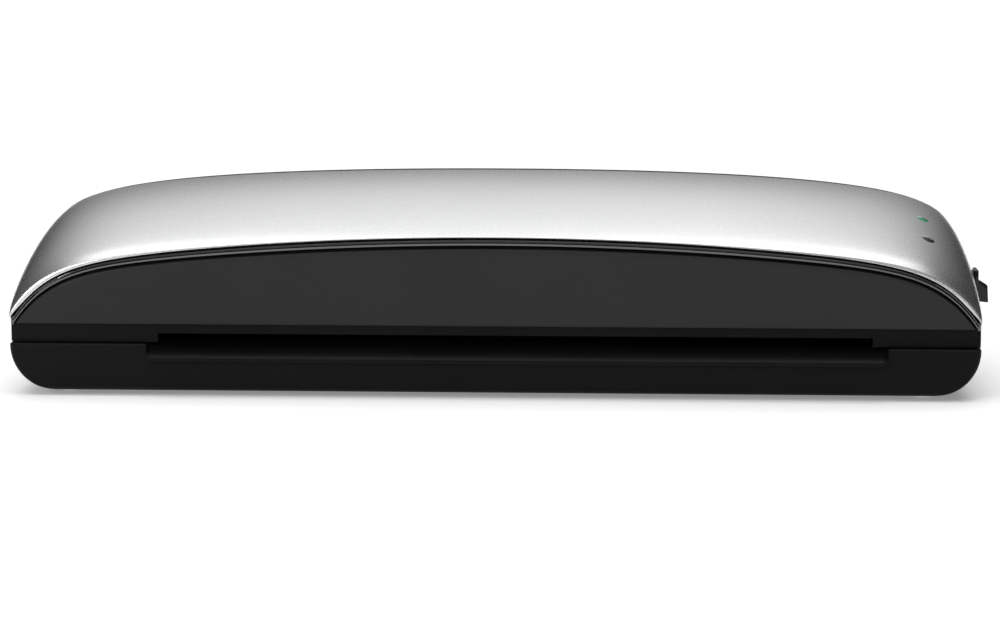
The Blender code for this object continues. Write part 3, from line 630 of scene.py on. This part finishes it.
def dome(centre, radius, bottom, top_at, crown):
    """A light pipe: a round column whose top follows the cover and bulges by `crown`."""
    sides = 40
    rings = [[(centre[0] + radius * math.cos(2 * math.pi * i / sides),
               centre[1] + radius * math.sin(2 * math.pi * i / sides), bottom) for i in range(sides)]]
    for share in (1, 0.97, 0.9, 0.78, 0.6, 0.4, 0.2, 0.04):
        ring = []
        for i in range(sides):
            x = centre[0] + radius * share * math.cos(2 * math.pi * i / sides)
            y = centre[1] + radius * share * math.sin(2 * math.pi * i / sides)
            ring.append((x, y, top_at(x, y) + crown * (1 - share ** 2) - 0.25))
        rings.append(ring)
    return loft(rings)


def cover_height(x, y):
    points = body_arch(y, 0, 401, SKIRT_Z)
    return float(np.interp(x, points[:, 0], points[:, 1]))


def make_lenses():
    for node, slot in (("ready_lens", "green_lens"), ("power_lens", "red_lens")):
        lowest, highest = low(node), high(node)
        centre = middle(node)
        radius = (highest[0] - lowest[0]) / 2
        lens = add_piece(f"{node}_dome", dome(centre, radius, lowest[2], cover_height, 0.35), LOOKS[slot])
        stand_for(lens, slot, node)


def make_switch():
    y, z = switch_centre()
    face = high("switch_housing")[0]
    rim, cavity = SWITCH_HALF + 1, SWITCH_HALF - 0.5
    housing = add_piece("switch_bezel", box((222.7, y - 5.7, z - rim), (face, y + 5.7, z + rim)),
                        LOOKS["gloss_black"])
    bevel(housing, 0.6, 4)
    change(housing, box((206, y - 4.6, z - SWITCH_HALF), (223, y + 4.6, z + SWITCH_HALF)), "UNION")
    change(housing, box((211, y - 3.9, z - cavity), (230, y + 3.9, z + cavity)))
    stand_for(housing, "gloss_black", "switch_housing")
    copy_of("rocker_switch", "switch_rocker", "gloss_black", "rocker", 0.35)


def copy_of(node, name, slot, body, width):
    """The CAD shape with its edges rounded."""
    mesh = frame["nodes"][node].data.copy()
    built = bmesh.new()
    built.from_mesh(mesh)
    bmesh.ops.remove_doubles(built, verts=built.verts, dist=2e-6)
    bmesh.ops.dissolve_limit(built, angle_limit=math.radians(1), verts=built.verts, edges=built.edges)
    built.to_mesh(mesh)
    built.free()
    mesh.materials.clear()
    mesh.materials.append(LOOKS[slot])
    piece = bpy.data.objects.new(name, mesh)
    bpy.context.scene.collection.objects.link(piece)
    bevel(piece, width, angle=35)
    stand_for(piece, slot, node, body=body)


def make_feet():
    for across in ("left", "right"):
        for along in ("front", "rear"):
            node = f"foot_{along}_{across}"
            lowest, highest = low(node), high(node)
            centre = middle(node)
            radius = (highest[0] - lowest[0]) / 2
            top = highest[2]
            profile = [(0.3, 0.25), (4.6, 0.25), (5, 0), (6.6, 0), (7.4, 0.35), (radius, 1.1), (radius, top),
                       (0.3, top)]
            foot = add_piece(f"rubber_{node}", turned("Z", centre[:2], profile), LOOKS["black_rubber"])
            stand_for(foot, "black_rubber", node)


def make_gland():
    lowest, highest = low("cable_gland"), high("cable_gland")
    x, _, z = middle("cable_gland")
    back = highest[1]
    profile = [(3.6, lowest[1]), (6, lowest[1]), (6, 70.3), (7.7, 70.3), (8, 70.6), (7.9, 71.4), (7.5, 72.6),
               (6.6, back - 0.2), (5.8, back), (4.4, back), (3.8, back - 0.3), (3.6, back - 0.8)]
    gland = add_piece("gland_ring", turned("Y", (x, z), profile), LOOKS["black_rubber"])
    stand_for(gland, "black_rubber", "cable_gland")


# --- Stage --------------------------------------------------------------------------------

def make_stage():
    """A pale floor past everything in view, which glows more with distance to stay white."""
    reach = 8000.0
    corners = [(-reach, -reach, 0), (reach, -reach, 0), (reach, reach, 0), (-reach, reach, 0)]
    floor = add_piece("pale_floor", (corners, [(0, 1, 2, 3)]))
    made, nodes, links, shader = shader_of("pale_paper")
    links.new(tint(nodes, links, noise(nodes, links, 3), (0.9, 0.9, 0.9), (0.92, 0.92, 0.92)),
              shader.inputs["Base Color"])
    shader.inputs["Roughness"].default_value = 0.9
    shader.inputs["Specular IOR Level"].default_value = 0.1
    shader.inputs["Emission Color"].default_value = (1, 1, 1, 1)
    where = nodes.new("ShaderNodeTexCoord")
    away = nodes.new("ShaderNodeVectorMath")
    away.operation = "LENGTH"
    links.new(where.outputs["Object"], away.inputs[0])
    glow = nodes.new("ShaderNodeMapRange")
    for socket, value in (("From Min", 0.7), ("From Max", 2.6), ("To Min", 0.25), ("To Max", 1.2)):
        glow.inputs[socket].default_value = value
    links.new(away.outputs["Value"], glow.inputs["Value"])
    links.new(glow.outputs["Result"], shader.inputs["Emission Strength"])
    floor.data.materials.append(made)


def add_light(name, place, aim, size, power):
    lamp = bpy.data.lights.new(name, "AREA")
    lamp.shape = "RECTANGLE"
    lamp.size, lamp.size_y = size
    lamp.energy = power
    holder = bpy.data.objects.new(name, lamp)
    holder.location = place
    holder.visible_camera = False
    direction = Vector(aim) - Vector(place)
    holder.rotation_euler = direction.to_track_quat("-Z", "Y").to_euler()
    bpy.context.scene.collection.objects.link(holder)


# Sky curves: pairs of place and brightness, both from 0 to 1. Height runs from the horizon
# to the zenith, and the low and the high sky from left to right.
SKY_TOP = 1.32
SKY_BY_HEIGHT = ((0, 0), (0.12, 0.01), (0.3, 0.2), (0.45, 0.5), (0.65, 0.85), (0.85, 1), (1, 1))
LOW_SKY = ((0, 0.1), (0.1, 0.02), (0.275, 0.02), (0.34, 0.08), (0.4, 0.17), (0.5, 0.23),
           (0.6, 0.15), (0.66, 0.05), (0.725, 0.015), (0.9, 0.015), (1, 0.08))
HIGH_SKY = ((0, 0.03), (0.1, 0.05), (0.2, 0.18), (0.3, 0.52), (0.4, 0.88), (0.5, 1), (0.58, 0.8),
            (0.66, 0.44), (0.74, 0.14), (0.86, 0.03), (1, 0.03))


def float_curve(nodes, links, value, stops):
    """A smooth curve through the stops, as a node."""
    made = nodes.new("ShaderNodeFloatCurve")
    curve = made.mapping.curves[0]
    while len(curve.points) < len(stops):
        curve.points.new(0.5, 0.5)
    for point, stop in zip(curve.points, stops):
        point.location = stop
    made.mapping.update()
    links.new(value, made.inputs["Value"])
    return made.outputs["Value"]


def make_sky():
    """Soft studio light from all round: bright above, grey low down, dark at both sides."""
    world = bpy.data.worlds.new("studio")
    world.use_nodes = True
    nodes, links = world.node_tree.nodes, world.node_tree.links
    where = nodes.new("ShaderNodeTexCoord")
    split = nodes.new("ShaderNodeSeparateXYZ")
    links.new(where.outputs["Generated"], split.inputs["Vector"])
    aside = nodes.new("ShaderNodeMapRange")
    aside.inputs["From Min"].default_value = -1
    links.new(split.outputs["X"], aside.inputs["Value"])
    across = aside.outputs["Result"]
    brighter = nodes.new("ShaderNodeMath")
    brighter.operation = "MULTIPLY"
    brighter.inputs[1].default_value = SKY_TOP
    links.new(float_curve(nodes, links, across, HIGH_SKY), brighter.inputs[0])
    blend = nodes.new("ShaderNodeMix")
    links.new(float_curve(nodes, links, split.outputs["Z"], SKY_BY_HEIGHT), blend.inputs["Factor"])
    links.new(float_curve(nodes, links, across, LOW_SKY), blend.inputs["A"])
    links.new(brighter.outputs["Value"], blend.inputs["B"])
    nodes["Background"].inputs["Color"].default_value = (1, 1, 1, 1)
    links.new(blend.outputs["Result"], nodes["Background"].inputs["Strength"])
    bpy.context.scene.world = world


def make_lights():
    """Place, aim and size in metres, power in watts."""
    make_sky()
    add_light("overhead_softbox", (0, -0.1, 1.7), (0, 0, 0), (2.0, 2.2), 16)
    add_light("front_fill", (-0.85, -1.1, 0.5), (-0.1, 0, 0.05), (0.5, 0.4), 6)


def make_camera():
    """A long lens in front of the machine, a little above it and to its right."""
    azimuth, elevation, distance = math.radians(2.66), math.radians(8.5), 1.604
    aim = Vector(((CASING_X + 3.4) * MM, FRONT_Y * MM, 0.0392))
    back = Vector((math.sin(azimuth) * math.cos(elevation), -math.cos(azimuth) * math.cos(elevation),
                   math.sin(elevation)))
    lens = bpy.data.cameras.new("camera")
    lens.sensor_width = 36
    lens.lens = 3.5 * lens.sensor_width
    camera = bpy.data.objects.new("camera", lens)
    camera.location = aim + back * distance
    camera.rotation_euler = (-back).to_track_quat("-Z", "Y").to_euler()
    bpy.context.scene.collection.objects.link(camera)
    bpy.context.scene.camera = camera


def main():
    bpy.context.scene.view_settings.view_transform = "Standard"
    make_camera()
    paint_frame()
    make_top_cover()
    make_upper_casing()
    make_lower_casing()
    make_front_trim()
    make_front_panel()
    make_tray()
    make_exit_guide()
    make_lenses()
    make_switch()
    make_feet()
    make_gland()
    copy_of("release_lever", "release_handle", "gloss_black", "release", 0.4)
    make_stage()
    make_lights()


main()
